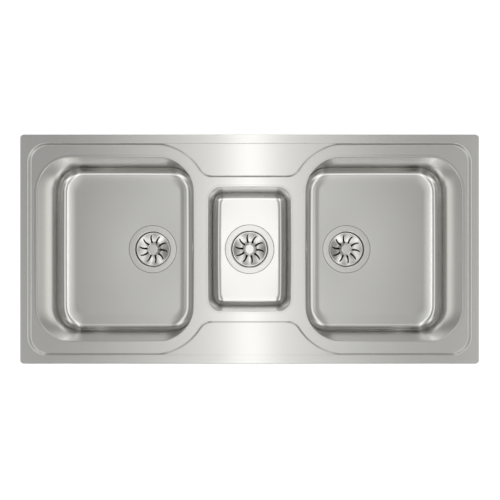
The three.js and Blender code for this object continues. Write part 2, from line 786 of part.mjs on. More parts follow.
for (const entry of bowls) {
  const { name, bowl, drainX, main } = entry;
  addPiece(`${name}_bowl`, 'steel', bowlGeometry(entry));

  const drain = new THREE.Group();
  drain.position.set(drainX, 0, -bowl.depth);
  sink.add(drain);
  let inletTurn = null;
  if (main) {
    inletTurn = drainX < 0 ? 0 : Math.PI;
  }
  addPiece(`${name}_strainer_cup`, 'polishedSteel', cupGeometry(), drain);
  addPiece(`${name}_waste_seal`, 'rubber', wasteSealGeometry(), drain);
  addPiece(`${name}_waste_body`, 'plastic', wasteGeometry(inletTurn), drain);
  addPiece(`${name}_waste_screw`, 'polishedSteel', wasteScrewGeometry(), drain);
  addPiece(`${name}_basket`, 'polishedSteel', basketGeometry(), drain);
  addPiece(`${name}_basket_knob`, 'polishedSteel', knobGeometry(), drain);
  addPiece(`${name}_basket_stopper`, 'rubber', stopperGeometry(), drain);

  if (main) {
    const mirror = Math.sign(drainX);
    addPiece(`${name}_sound_pad`, 'pad', padGeometry(entry));
    const toWall = (geometry) => geometry.translate(bowl.open.x1, 0, OVERFLOW_Z);
    const place = (geometry) => toWall(geometry).scale(-mirror, 1, 1);
    addPiece(`${name}_overflow_plate`, 'polishedSteel', place(overflowPlateGeometry()));
    addPiece(`${name}_overflow_screw`, 'polishedSteel', place(overflowScrewGeometry()));
    addPiece(`${name}_overflow_elbow`, 'plastic', place(overflowElbowGeometry()));
    addPiece(`${name}_overflow_pipe`, 'plastic', overflowPipeGeometry().scale(-mirror, 1, 1));
  }
}

// Each rail: centre, turn about Z, length and where its clips are along it.
const rails = [
  { name: 'front', x: 0, y: -227.5, turn: 0, length: 860, clips: [-330, 0, 330] },
  { name: 'right', x: 474.3, y: 0, turn: Math.PI / 2, length: 260, clips: [0] },
  { name: 'rear', x: 0, y: 227.5, turn: Math.PI, length: 860, clips: [-330, 0, 330] },
  { name: 'left', x: -474.3, y: 0, turn: -Math.PI / 2, length: 260, clips: [0] },
];

for (const { name, x, y, turn, length, clips } of rails) {
  const rail = new THREE.Group();
  rail.position.set(x, y, 0);
  rail.rotation.z = turn;
  sink.add(rail);
  addPiece(`${name}_rail`, 'zincSteel', railGeometry(length, clips), rail);
  clips.forEach((at, k) => {
    const clip = new THREE.Group();
    clip.position.set(at, 0, 0);
    rail.add(clip);
    const label = clips.length > 1 ? `${name}_clip_${k + 1}` : `${name}_clip`;
    addPiece(`${label}_claw`, 'zincSteel', clawGeometry(), clip);
    addPiece(`${label}_screw`, 'zincSteel', clipScrewGeometry(), clip);
  });
}

export default sink;
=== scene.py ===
"""Looks of an inset stainless-steel kitchen sink with two main bowls and a half bowl.

Shapes are worked out in millimetres, in the frame of the CAD part: +X to the sink's
right end, +Y to its rear edge, +Z up, origin on the worktop plane in the middle of the
sink. piece() turns them into metres.
"""
import json
import math

import bmesh
import bpy
import numpy as np
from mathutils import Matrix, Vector
from mathutils.geometry import delaunay_2d_cdt


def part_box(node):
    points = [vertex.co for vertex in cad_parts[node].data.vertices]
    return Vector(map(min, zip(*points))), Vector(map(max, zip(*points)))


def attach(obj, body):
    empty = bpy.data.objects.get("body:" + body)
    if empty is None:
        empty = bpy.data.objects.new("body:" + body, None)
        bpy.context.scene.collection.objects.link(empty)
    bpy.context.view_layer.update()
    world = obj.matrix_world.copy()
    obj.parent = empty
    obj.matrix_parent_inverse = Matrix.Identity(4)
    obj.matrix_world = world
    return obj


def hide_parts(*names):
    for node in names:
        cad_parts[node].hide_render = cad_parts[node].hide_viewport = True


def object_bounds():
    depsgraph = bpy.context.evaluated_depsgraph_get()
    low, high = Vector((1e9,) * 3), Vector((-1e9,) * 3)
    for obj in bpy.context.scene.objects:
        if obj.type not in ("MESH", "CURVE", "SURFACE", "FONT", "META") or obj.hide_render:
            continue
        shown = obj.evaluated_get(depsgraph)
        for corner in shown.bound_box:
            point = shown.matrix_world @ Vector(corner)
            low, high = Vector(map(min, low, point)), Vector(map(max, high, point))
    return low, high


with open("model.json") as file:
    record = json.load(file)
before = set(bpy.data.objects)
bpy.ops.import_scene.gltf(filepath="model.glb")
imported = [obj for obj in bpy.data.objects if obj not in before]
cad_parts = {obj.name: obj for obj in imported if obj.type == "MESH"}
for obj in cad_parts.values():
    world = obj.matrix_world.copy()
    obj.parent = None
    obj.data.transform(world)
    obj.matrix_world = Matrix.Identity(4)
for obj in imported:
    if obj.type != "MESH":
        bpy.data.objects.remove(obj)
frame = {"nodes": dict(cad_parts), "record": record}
cad_low, cad_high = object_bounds()

MM = 0.001


def node_box(node):
    """Lowest and highest corner of a CAD node, in millimetres."""
    low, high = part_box(node)
    return np.array(low) / MM, np.array(high) / MM


# ------------------------------------------------------------------ driving sizes

# Gauge of the pressed steel, and clearance between parts that don't touch.
SHEET = 1.0
GAP = 0.3

# The deck: a rim with a rolled edge, a step pressed down from it to height 0, and two
# raised fields. The step is half length, half width and corner radius, at its top and
# at its foot. A field's edge is flat in the middle, then a foot arc, then a shoulder arc.
_, DECK_HIGH = node_box("deck")
HALF_LENGTH = DECK_HIGH[0]
HALF_WIDTH = DECK_HIGH[1]
RIM_TOP = DECK_HIGH[2]
RIM_EDGE = 0.8
CORNER_R = 8.0
EDGE_ROLL = 2.6
STEP_TOP = (482.8, 231.2, 42.0)
STEP_FOOT = (475.5, 225.6, 36.0)
STEP_WIDTH = 6.4
STEP_INSET = 1.1
STEP_BEND_R = 2.6
FIELD_Z = 3.8
FIELD_FLAT_HALF = 81.4
FIELD_EDGE_Y = 160.0
FIELD_FOOT_R = 30.0
FIELD_SHOULDER_R = 124.0
FIELD_SLOPE = 3.4
FIELD_BEND_R = 1.6
PROFILE_RUN = 3.0

LIP_R = 1.5
LIP_FLAT = 4.8
SEAT_R = 57.7
SEAT_DEPTH = 2.6
DRAIN_HOLE_R = 46.0

# Outlines of each bowl, from its left to its right end, with half its width, its corner
# radius and the bow of its sides: at its opening and at the foot of its walls. Below them
# its sheet bends in by the fillet and then runs out into the floor over the blend. On its
# inner side each of them is wider or narrower by its share.
MAIN_BOWL = {
    "open": (-462.2, -123.8, 199.0, 73.0, 1.3),
    "foot": (-459.0, -130.5, 194.7, 57.0, 1.2),
    "depth": 180.0,
    "fillet": 21.5,
    "blend": 22.0,
    "shares": (1.3, 0.7),
}
HALF_BOWL = {
    "open": (-88.5, 88.5, 134.2, 26.0, 1.5),
    "foot": (-85.0, 85.0, 129.5, 24.0, 1.4),
    "depth": 125.0,
    "fillet": 18.5,
    "blend": 4.0,
    "shares": (1.0, 1.0),
}
# Each bowl, with -1 for the one that is mirrored.
BOWLS = {
    "left": (MAIN_BOWL, 1),
    "centre": (HALF_BOWL, 1),
    "right": (MAIN_BOWL, -1),
}

FLOOR_FALL = math.tan(math.radians(1.0))
WALL_STEEP = math.radians(86.0)
BLEND_STEEP = math.radians(6.0)


def drain_place(side):
    """Centre of a strainer's flange on its bowl's floor."""
    low, high = node_box(f"{side}_strainer_cup")
    return (low[0] + high[0]) / 2, 0.0, high[2]


# ------------------------------------------------------------------ mesh helpers


def piece(name, verts, faces, sharp=35.0):
    """A mesh object from points in millimetres, welded, facing out and smooth-shaded."""
    mesh = bpy.data.meshes.new(name)
    mesh.from_pydata([Vector(v) * MM for v in verts], [], faces)
    work = bmesh.new()
    work.from_mesh(mesh)
    bmesh.ops.remove_doubles(work, verts=work.verts, dist=2e-6)
    bmesh.ops.dissolve_degenerate(work, edges=work.edges, dist=1e-7)
    bmesh.ops.recalc_face_normals(work, faces=work.faces)
    work.to_mesh(mesh)
    work.free()
    mesh.shade_smooth()
    mesh.set_sharp_from_angle(angle=math.radians(sharp))
    obj = bpy.data.objects.new(name, mesh)
    obj.modifiers.new("even_normals", "WEIGHTED_NORMAL").keep_sharp = True
    bpy.context.scene.collection.objects.link(obj)
    return obj


BODY_OF = {
    node: body
    for body, nodes in frame["record"]["behaviour"]["bodies"].items()
    for node in nodes
}
SLOT_OF = {row["node"]: row["material_slot"] for row in frame["record"]["subparts"]}


def stands_for(obj, node, material):
    """Puts a fine piece in a CAD node's place, on its body and with its finish."""
    obj.data.materials.append(material)
    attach(obj, BODY_OF[node])
    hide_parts(node)
    return obj


class Shape:
    """Points and faces that are gathered into one piece."""

    def __init__(self):
        self.verts = []
        self.faces = []

    def add(self, verts, faces):
        start = len(self.verts)
        self.verts.extend(tuple(map(float, v)) for v in verts)
        self.faces.extend(tuple(i + start for i in face) for face in faces)
        return self

    def loft(self, rings, closed=False):
        """Bands of quads between rings of equal count. closed joins the last to the first."""
        count = len(rings[0])
        verts = [point for ring in rings for point in ring]
        faces = []
        bands = len(rings) if closed else len(rings) - 1
        for k in range(bands):
            low, high = k * count, ((k + 1) % len(rings)) * count
            for i in range(count):
                j = (i + 1) % count
                faces.append((low + i, low + j, high + j, high + i))
        return self.add(verts, faces)

    def lathe(self, profile, segments=64, centre=(0, 0, 0), closed=True):
        """Turns (radius, height) points about Z. A closed profile returns to its start."""
        turns = np.arange(segments) * 2 * np.pi / segments
        rings = []
        for radius, height in profile:
            rings.append(np.column_stack([
                centre[0] + radius * np.cos(turns),
                centre[1] + radius * np.sin(turns),
                np.full(segments, centre[2] + height),
            ]))
        return self.loft(rings, closed)

    def piece(self, name, sharp=35.0):
        return piece(name, self.verts, self.faces, sharp)


def rounded(points, steps=5, closed=False):
    """A profile through (x, y, radius) points with its corners turned to arcs."""
    out = []
    count = len(points)
    for i, (x, y, radius) in enumerate(points):
        here = np.array([x, y], float)
        if radius == 0 or (not closed and i in (0, count - 1)):
            out.append(here)
            continue
        before = np.array(points[i - 1][:2], float) - here
        after = np.array(points[(i + 1) % count][:2], float) - here
        before /= np.linalg.norm(before)
        after /= np.linalg.norm(after)
        half = math.acos(np.clip(before @ after, -1, 1)) / 2
        middle = (before + after) / np.linalg.norm(before + after)
        centre = here + middle * radius / math.sin(half)
        start = here + before * radius / math.tan(half) - centre
        end = here + after * radius / math.tan(half) - centre
        turn = math.atan2(start[0] * end[1] - start[1] * end[0], start @ end)
        for k in range(steps + 1):
            a = turn * k / steps
            out.append(centre + np.array([
                start[0] * math.cos(a) - start[1] * math.sin(a),
                start[0] * math.sin(a) + start[1] * math.cos(a),
            ]))
    return np.array(out)


def rounded_box(x0, x1, half_y, r, bow=0.0, corner_steps=16, side_steps=36):
    """Anticlockwise rounded rectangle whose sides bow outwards by bow at their middle."""
    centre_x, half_x = (x0 + x1) / 2, (x1 - x0) / 2
    corners = [(1, 1), (-1, 1), (-1, -1), (1, -1)]
    points = []
    for corner, (sx, sy) in enumerate(corners):
        turns = (corner + np.arange(corner_steps + 1) / corner_steps) * np.pi / 2
        arc = np.column_stack([
            sx * (half_x - r) + r * np.cos(turns),
            sy * (half_y - r) + r * np.sin(turns),
        ])
        points.extend(arc)
        nx, ny = corners[(corner + 1) % 4]
        along_x = corner % 2 == 0
        following = np.array([
            nx * (half_x - r if along_x else half_x),
            ny * (half_y if along_x else half_y - r),
        ])
        for k in range(1, side_steps):
            points.append(arc[-1] + (following - arc[-1]) * k / side_steps)
    points = np.array(points)
    u, v = points[:, 0] / half_x, points[:, 1] / half_y
    return np.column_stack([
        centre_x + points[:, 0] + bow * u * (1 - v * v),
        points[:, 1] + bow * v * (1 - u * u),
    ])


def lifted(outline, z):
    """An outline's points at a height."""
    return np.column_stack([outline, np.full(len(outline), z)])


# ------------------------------------------------------------------ materials


def nodes_of(name):
    """A new material, its node tree and its shader."""
    material = bpy.data.materials.new(name)
    material.use_nodes = True
    tree = material.node_tree
    shader = tree.nodes["Principled BSDF"]
    return material, tree, shader


def add_node(tree, kind, **values):
    """A new node with some of its inputs or settings filled in."""
    node = tree.nodes.new(kind)
    for key, value in values.items():
        if key in node.inputs:
            node.inputs[key].default_value = value
        else:
            setattr(node, key, value)
    return node


def stretched_noise(tree, stretch, detail=3.0, scale=1.0):
    """Noise in object space, stretched by a factor along each axis (per metre)."""
    place = add_node(tree, "ShaderNodeTexCoord")
    mapping = add_node(tree, "ShaderNodeMapping")
    mapping.inputs["Scale"].default_value = stretch
    noise = add_node(tree, "ShaderNodeTexNoise", Scale=scale, Detail=detail)
    tree.links.new(place.outputs["Object"], mapping.inputs["Vector"])
    tree.links.new(mapping.outputs["Vector"], noise.inputs["Vector"])
    return noise.outputs["Fac"]


def ranged(tree, value, low, high):
    """A value from 0 to 1 spread over a range."""
    span = add_node(tree, "ShaderNodeMapRange")
    span.inputs["To Min"].default_value = low
    span.inputs["To Max"].default_value = high
    tree.links.new(value, span.inputs["Value"])
    return span.outputs["Result"]


def tinted(tree, value, dark, light):
    """Colour between two tones by a value from 0 to 1."""
    mix = add_node(tree, "ShaderNodeMix", data_type="RGBA")
    mix.inputs["A"].default_value = (*dark, 1)
    mix.inputs["B"].default_value = (*light, 1)
    tree.links.new(value, mix.inputs["Factor"])
    return mix.outputs["Result"]


def metal(name, dark, light, roughness, spread=0.03, anisotropy=0.0, grain=(8, 900, 900),
          bump=0.02, tangent=(0, 1, 0)):
    """Brushed or polished metal whose grain runs along the axis that it is stretched on."""
    material, tree, shader = nodes_of(name)
    shader.inputs["Metallic"].default_value = 1.0
    streaks = stretched_noise(tree, grain, detail=4.0)
    cloud = stretched_noise(tree, (9, 9, 9), detail=2.0)
    tree.links.new(tinted(tree, cloud, dark, light), shader.inputs["Base Color"])
    tree.links.new(
        ranged(tree, streaks, roughness - spread, roughness + spread),
        shader.inputs["Roughness"],
    )
    bumps = add_node(tree, "ShaderNodeBump", Strength=bump, Distance=0.0002)
    tree.links.new(streaks, bumps.inputs["Height"])
    tree.links.new(bumps.outputs["Normal"], shader.inputs["Normal"])
    if anisotropy:
        shader.inputs["Anisotropic"].default_value = anisotropy
        direction = add_node(tree, "ShaderNodeCombineXYZ", X=tangent[0], Y=tangent[1], Z=tangent[2])
        tree.links.new(direction.outputs["Vector"], shader.inputs["Tangent"])
    return material


def soft_solid(name, dark, light, roughness, speckle, bump, sheen=0.0):
    """Rubber, foam or moulded plastic with a fine surface texture."""
    material, tree, shader = nodes_of(name)
    fine = stretched_noise(tree, (speckle, speckle, speckle), detail=3.0)
    broad = stretched_noise(tree, (25, 25, 25), detail=2.0)
    tree.links.new(tinted(tree, broad, dark, light), shader.inputs["Base Color"])
    tree.links.new(
        ranged(tree, fine, roughness - 0.06, roughness + 0.06), shader.inputs["Roughness"]
    )
    shader.inputs["Sheen Weight"].default_value = sheen
    bumps = add_node(tree, "ShaderNodeBump", Strength=bump, Distance=0.0004)
    tree.links.new(fine, bumps.inputs["Height"])
    tree.links.new(bumps.outputs["Normal"], shader.inputs["Normal"])
    return material


MATERIALS = {
    "deck": metal("deck_brushed_steel", (0.80, 0.794, 0.772), (0.834, 0.828, 0.806),
                  0.26, spread=0.01, anisotropy=1.0, bump=0.004),
    "bowl": metal("bowl_satin_steel", (0.777, 0.771, 0.749), (0.811, 0.805, 0.783),
                  0.17, spread=0.01, anisotropy=0.6, bump=0.003),
    "half": metal("half_bowl_satin_steel", (0.74, 0.734, 0.713), (0.77, 0.764, 0.743),
                  0.17, spread=0.01, anisotropy=0.6, bump=0.003),
    "mill": metal("mill_finish_steel", (0.40, 0.40, 0.395), (0.46, 0.46, 0.455),
                  0.46, spread=0.05, grain=(60, 60, 60), bump=0.05),
    "satin": metal("strainer_satin_steel", (0.777, 0.771, 0.749), (0.823, 0.817, 0.80),
                   0.2, spread=0.02, anisotropy=0.4, grain=(200, 200, 200), bump=0.003),
    # Painted shade: near-black steel laid on a cup's inside below its basket and in the groove of
    # each bowl's seat, where shade falls.
    "painted_shade": metal("painted_shade_dark_steel", (0.03, 0.03, 0.028), (0.05, 0.05, 0.045),
                     0.5, grain=(150, 150, 150)),
    "polished": metal("polished_steel", (0.78, 0.774, 0.757), (0.83, 0.824, 0.807),
                      0.17, spread=0.02, grain=(300, 300, 300), bump=0.01),
    "zinc": metal("zinc_plated_steel", (0.52, 0.54, 0.55), (0.64, 0.66, 0.67),
                  0.42, spread=0.08, grain=(120, 120, 120), bump=0.05),
    "rubber": soft_solid("black_rubber", (0.012, 0.012, 0.013), (0.022, 0.022, 0.024),
                         0.62, 900, 0.25),
    "foam": soft_solid("closed_cell_foam", (0.03, 0.03, 0.032), (0.05, 0.05, 0.053),
                       0.9, 1500, 0.6, sheen=0.2),
    "pad": soft_solid("bitumen_felt", (0.06, 0.06, 0.063), (0.11, 0.11, 0.114),
                      0.85, 700, 0.8, sheen=0.1),
    "plastic": soft_solid("white_polypropylene", (0.56, 0.56, 0.545), (0.63, 0.63, 0.615),
                          0.42, 400, 0.06),
}


# ------------------------------------------------------------------ deck


def step_sizes(part):
    """Half length, half width and corner radius of the step's outline, part way down it."""
    return [top + (foot - top) * part for top, foot in zip(STEP_TOP, STEP_FOOT)]


def step_part(x, y):
    """How far down the pressed step a point lies: 0 at its top line, 1 at its foot.

    The step's outline is shrunk and grown until it runs through the point.
    """
    low = np.full(len(x), -8.0)
    high = np.full(len(x), 60.0)
    for _ in range(40):
        part = (low + high) / 2
        half_x, half_y, r = step_sizes(part)
        r = np.maximum(r, 0.5)
        over_x, over_y = np.abs(x) - (half_x - r), np.abs(y) - (half_y - r)
        inside = np.minimum(np.maximum(over_x, over_y), 0)
        distance = np.hypot(np.maximum(over_x, 0), np.maximum(over_y, 0)) + inside - r
        outside = distance > 0
        high = np.where(outside, part, high)
        low = np.where(outside, low, part)
    return (low + high) / 2


STEP_PROFILE = rounded([
    (-PROFILE_RUN, RIM_TOP, 0),
    (STEP_INSET, RIM_TOP, STEP_BEND_R),
    (STEP_WIDTH - STEP_INSET, 0.0, STEP_BEND_R),
    (STEP_WIDTH + PROFILE_RUN, 0.0, 0),
], steps=6)
FIELD_PROFILE = rounded([
    (-PROFILE_RUN, FIELD_Z, 0),
    (0.0, FIELD_Z, FIELD_BEND_R),
    (FIELD_SLOPE, 0.0, FIELD_BEND_R),
    (FIELD_SLOPE + PROFILE_RUN, 0.0, 0),
], steps=5)

FIELD_FOOT_Y = FIELD_EDGE_Y + FIELD_FOOT_R
FIELD_SHOULDER_Y = STEP_TOP[1] - FIELD_SHOULDER_R
FIELD_RISE = FIELD_FOOT_Y - FIELD_SHOULDER_Y
FIELD_SHOULDER_X = FIELD_FLAT_HALF + math.sqrt(
    (FIELD_FOOT_R + FIELD_SHOULDER_R) ** 2 - FIELD_RISE ** 2
)
FIELD_MEET = math.atan2(FIELD_RISE, FIELD_FLAT_HALF - FIELD_SHOULDER_X)


def field_distance(x, y):
    """Distance outside the edge of the raised fields, negative on them."""
    x, y = np.abs(x), np.abs(y)
    flat = FIELD_EDGE_Y - y
    foot = np.hypot(x - FIELD_FLAT_HALF, y - FIELD_FOOT_Y) - FIELD_FOOT_R
    shoulder = FIELD_SHOULDER_R - np.hypot(x - FIELD_SHOULDER_X, y - FIELD_SHOULDER_Y)
    side = (
        (x - FIELD_FLAT_HALF) * math.sin(FIELD_MEET)
        - (y - FIELD_FOOT_Y) * math.cos(FIELD_MEET)
    )
    distance = np.where(side > 0, shoulder, foot)
    distance = np.where((x <= FIELD_FLAT_HALF) & (y < FIELD_FOOT_Y), flat, distance)
    inner = (x <= FIELD_FLAT_HALF) & (y >= FIELD_FOOT_Y)
    distance = np.where(inner, -FIELD_FOOT_R, distance)
    beyond = x > FIELD_SHOULDER_X
    return np.where(beyond, FIELD_SHOULDER_Y + FIELD_SHOULDER_R - y, distance)


def deck_height(points):
    """Height of the deck's upper face at each point."""
    x, y = points[:, 0], points[:, 1]
    step = np.interp(step_part(x, y) * STEP_WIDTH, STEP_PROFILE[:, 0], STEP_PROFILE[:, 1])
    field = np.interp(field_distance(x, y), FIELD_PROFILE[:, 0], FIELD_PROFILE[:, 1])
    return np.maximum(step, field)


def field_line(offset):
    """The edge line of the rear field at an offset towards the bowls, left to right."""
    foot_r, shoulder_r = FIELD_FOOT_R + offset, FIELD_SHOULDER_R - offset
    foot = np.linspace(-math.pi / 2, FIELD_MEET - math.pi, 13)
    shoulder = np.linspace(FIELD_MEET, math.pi / 2, 25)[1:]
    right = np.vstack([
        np.column_stack([
            FIELD_FLAT_HALF + foot_r * np.cos(foot), FIELD_FOOT_Y + foot_r * np.sin(foot),
        ]),
        np.column_stack([
            FIELD_SHOULDER_X + shoulder_r * np.cos(shoulder),
            FIELD_SHOULDER_Y + shoulder_r * np.sin(shoulder),
        ]),
    ])
    left = right[::-1] * (-1, 1)
    return np.vstack([left, right])


def inside_box(points, x0, x1, half_y, r):
    """Which points lie inside a rounded rectangle."""
    half_x = (x1 - x0) / 2
    over_x = np.abs(points[:, 0] - (x0 + x1) / 2) - (half_x - r)
    over_y = np.abs(points[:, 1]) - (half_y - r)
    away = np.hypot(np.maximum(over_x, 0), np.maximum(over_y, 0))
    return away + np.minimum(np.maximum(over_x, over_y), 0) < r


def inside_polygon(points, outline):
    """Which points lie inside a closed outline."""
    x, y = points[:, 0], points[:, 1]
    inside = np.zeros(len(points), bool)
    for (x0, y0), (x1, y1) in zip(outline, np.roll(outline, -1, axis=0)):
        if y0 == y1:
            continue
        crosses = (y0 > y) != (y1 > y)
        inside ^= crosses & (x < (x1 - x0) * (y - y0) / (y1 - y0) + x0)
    return inside


def outline_of(sizes, grow, mirror=1):
    """A bowl's outline, grown outwards all round. mirror is -1 for the right bowl."""
    x0, x1, half_y, r, bow = sizes
    return rounded_box(x0 - grow, x1 + grow, half_y + grow, r + grow, bow) * (mirror, 1)


def rim_sizes(inset):
    """Ends, half width and corner radius of the deck's edge, moved in by an inset."""
    half_x = HALF_LENGTH - inset
    return -half_x, half_x, HALF_WIDTH - inset, CORNER_R - inset


def build_deck():
    """The deck's sheet: both faces between the rolled rim and the bowls' lips."""
    roll_start = EDGE_ROLL + 1.0
    loops = [rounded_box(*rim_sizes(roll_start))]
    for part in STEP_PROFILE[:, 0] / STEP_WIDTH:
        half_x, half_y, r = step_sizes(part)
        loops.append(rounded_box(-half_x, half_x, half_y, r))
    lip = LIP_R + LIP_FLAT
    holes = [outline_of(bowl["open"], lip, mirror) for bowl, mirror in BOWLS.values()]
    loops.extend(holes)
    lines = []
    for offset in FIELD_PROFILE[:, 0]:
        for side in (1, -1):
            lines.append(field_line(offset) * (1, side))

    points, edges = [], []
    for k, outline in enumerate(loops + lines):
        start = len(points)
        points.extend(outline)
        edges.extend((start + i, start + i + 1) for i in range(len(outline) - 1))
        if k < len(loops):
            edges.append((len(points) - 1, start))
    flat, _, triangles, *_ = delaunay_2d_cdt([Vector(p) for p in points], edges, [], 0, 1e-4)
    flat = np.array([tuple(p) for p in flat])
    middles = np.array([flat[list(t)].mean(0) for t in triangles])
    keep = inside_box(middles, *rim_sizes(roll_start))
    for hole in holes:
        keep &= ~inside_polygon(middles, hole)
    triangles = [t for t, kept in zip(triangles, keep) if kept]
    height = deck_height(flat)

    shape = Shape()
    shape.add(np.column_stack([flat, height]), triangles)
    shape.add(np.column_stack([flat, height - SHEET]), triangles)
    for hole in holes:
        z = deck_height(hole)
        shape.loft([np.column_stack([hole, z]), np.column_stack([hole, z - SHEET])])
    outer = rounded([
        (roll_start, RIM_TOP, 0), (0, RIM_TOP, EDGE_ROLL), (0, RIM_EDGE, 0.3),
        (SHEET, RIM_EDGE, 0.3), (SHEET, RIM_TOP - SHEET, EDGE_ROLL - SHEET),
        (roll_start, RIM_TOP - SHEET, 0),
    ], steps=6)
    shape.loft([lifted(rounded_box(*rim_sizes(inset)), z) for inset, z in outer])
    return shape.piece("deck_sheet")


# ------------------------------------------------------------------ bowls


def floor_rise(points, drain_x):
    """How far the floor, which falls to the drain, stands above the drain's seat."""
    away = np.hypot(points[:, 0] - drain_x, points[:, 1])
    return FLOOR_FALL * np.maximum(away - SEAT_R - 2, 0)


def fillet_section(bowl):
    """Rows down a bowl's fillet and blend: its outline, height over the floor, steepness."""
    radius, blend = bowl["fillet"], bowl["blend"]
    x0, x1, half_y, r, bow = bowl["foot"]
    fillet_share, blend_share = bowl["shares"]
    easy = blend / math.sin(BLEND_STEEP)
    rise = easy * (1 - math.cos(BLEND_STEEP))
    rows = []

    def add(in_fillet, in_blend, height, steep):
        way = in_fillet + in_blend
        inner = in_fillet * fillet_share + in_blend * blend_share
        rows.append(((x0 + way, x1 - inner, half_y - way, r - way, bow), height, steep))

    for steep in np.linspace(WALL_STEEP, BLEND_STEEP, 24):
        in_fillet = radius * (math.sin(WALL_STEEP) - math.sin(steep))
        add(in_fillet, 0, rise + radius * (math.cos(BLEND_STEEP) - math.cos(steep)), steep)
    for steep in np.linspace(BLEND_STEEP, 0, 9)[1:]:
        in_blend = easy * (math.sin(BLEND_STEEP) - math.sin(steep))
        add(in_fillet, in_blend, easy * (1 - math.cos(steep)), steep)
    return rows


def bowl_face(bowl, mirror, skin, drain_x):
    """Rings down one face of a bowl's sheet, from its lip to the edge of its floor."""
    opening = bowl["open"]

    def at_lip(grow, z):
        return lifted(outline_of(opening, grow, mirror), z)

    lip = [at_lip(LIP_R + LIP_FLAT, -skin), at_lip(LIP_R + 0.8, -skin)]
    for turn in np.linspace(0, math.pi / 2, 9):
        r = LIP_R - skin
        lip.append(at_lip(LIP_R - r * math.sin(turn), -LIP_R + r * math.cos(turn)))
    fillet = []
    for sizes, height, steep in fillet_section(bowl):
        ring = lifted(outline_of(sizes, skin * math.sin(steep), mirror), height - bowl["depth"])
        ring[:, 2] += floor_rise(ring, drain_x) - skin * math.cos(steep)
        fillet.append(ring)
    wall = [lip[-1] + (fillet[0] - lip[-1]) * part for part in np.linspace(0, 1, 9)[1:-1]]
    return lip + wall + fillet


def drain_ring(around, centre_x, r, z):
    """A circle about the drain whose points lie in the directions of another ring's."""
    turns = np.arctan2(around[:, 1], around[:, 0] - centre_x)
    return np.column_stack([
        centre_x + r * np.cos(turns), r * np.sin(turns), np.full(len(turns), z),
    ])


def build_bowl(side):
    """A bowl's sheet: both faces from the lip down to the hole that its strainer hangs in."""
    bowl, mirror = BOWLS[side]
    drain_x, _, floor_z = drain_place(side)
    rings = []
    for skin in (0, SHEET):
        face = bowl_face(bowl, mirror, skin, drain_x)
        floor = face[-1]
        z = floor_z - skin
        edge = drain_ring(floor, drain_x, SEAT_R + skin, z)
        for part in np.linspace(0, 1, 8)[1:-1]:
            ring = floor + (edge - floor) * part
            ring[:, 2] = z + floor_rise(ring, drain_x)
            face.append(ring)
        seat = rounded([
            (SEAT_R + skin + 2, z, 0), (SEAT_R + skin, z, 0.3),
            (SEAT_R + skin, z - SEAT_DEPTH, 0.5), (DRAIN_HOLE_R, z - SEAT_DEPTH, 0),
        ], steps=3)
        face.extend(drain_ring(floor, drain_x, r, height) for r, height in seat)
        rings.extend(face if skin == 0 else face[::-1])
    return Shape().loft(rings, closed=True).piece(f"{side}_bowl_sheet")


# ------------------------------------------------------------------ strainers

CUP_R = 41.8
CUP_DEPTH = 34.0
CUP_GAUGE = 1.0
CUP_BEND_DEPTH = 15.0
CUP_SCREW_R = 3.3
FLANGE_R = 57.0
BASKET_R = 40.6
BASKET_TOP = 9.5
BASKET_BOTTOM = 20.0
DISH_FLAT_R = 12.0
DISH_CURVE = 1.35
BASKET_GAUGE = 0.9
BASKET_RIM = 1.8
BASKET_STEM_R = 3.4
SLOTS = 10
SLOT_HALVES = (2.5, 1.5)
SLOT_INNER = 14.6
SLOT_OUTER = 34.6
SLOT_BEND = (-6.0, 10.5, -15.0)
CUP_HOLES = 8
CUP_HOLE_R = 3.8
CUP_HOLE_RING = 13.0
CUP_HOLE_REACH = 3.5
OVERFLOW_HOLE_R = 11.0
OVERFLOW_HOLE_REACH = 10.0
# Depths below a bowl's floor and below a basket from which faces get the near-black painted shade.
SHADE_BELOW_FLOOR = 0.5
SHADE_BELOW_BASKET = 4.0
KNOB_ACROSS = 23.0
KNOB_TOP = 5.5
KNOB_FACETS = 8
KNOB_CORNER_ROUND = 0.45
KNOB_NECK_R = 6.2
KNOB_FOOT_R = 9.0
KNOB_THICK = 9.5
STEM_R = 2.9
STEM_CLEAR = 4.7


def build_cup(side):
    """Strainer cup with its flange, which lies in the recess of the bowl's floor."""
    seat = SEAT_DEPTH - GAP
    floor = -CUP_DEPTH + CUP_GAUGE
    profile = rounded([
        (FLANGE_R, -seat, 0.2), (FLANGE_R, 0, 0.3), (CUP_R + 0.2, 0, 2.8),
        (CUP_R, -CUP_BEND_DEPTH, 4), (CUP_R - 12, floor, 3), (CUP_SCREW_R, floor, 0),
        (CUP_SCREW_R, -CUP_DEPTH, 0), (CUP_R - 11.5, -CUP_DEPTH, 3),
        (CUP_R + CUP_GAUGE, -CUP_BEND_DEPTH - 0.2, 4), (CUP_R + CUP_GAUGE, -seat, 0.8),
    ], steps=6, closed=True)
    place = drain_place(side)
    return Shape().lathe(profile, 128, place).piece(f"{side}_cup")


def slot_half_angle(r):
    """Half the angle that a slot takes up at a radius, with round ends."""
    reach = min(r - SLOT_INNER, SLOT_OUTER - r)
    if reach <= 0:
        return 0.0
    half = float(np.interp(r, (SLOT_INNER, SLOT_OUTER), SLOT_HALVES))
    if reach < half:
        half = math.sqrt(half ** 2 - (half - reach) ** 2)
    return half / r


def slot_turn(r):
    """How far a slot's middle has bent round at a radius."""
    part = np.clip((r - SLOT_INNER) / (SLOT_OUTER - SLOT_INNER), 0, 1)
    start, out, back = SLOT_BEND
    return math.radians(start + out * part + back * part ** 2)


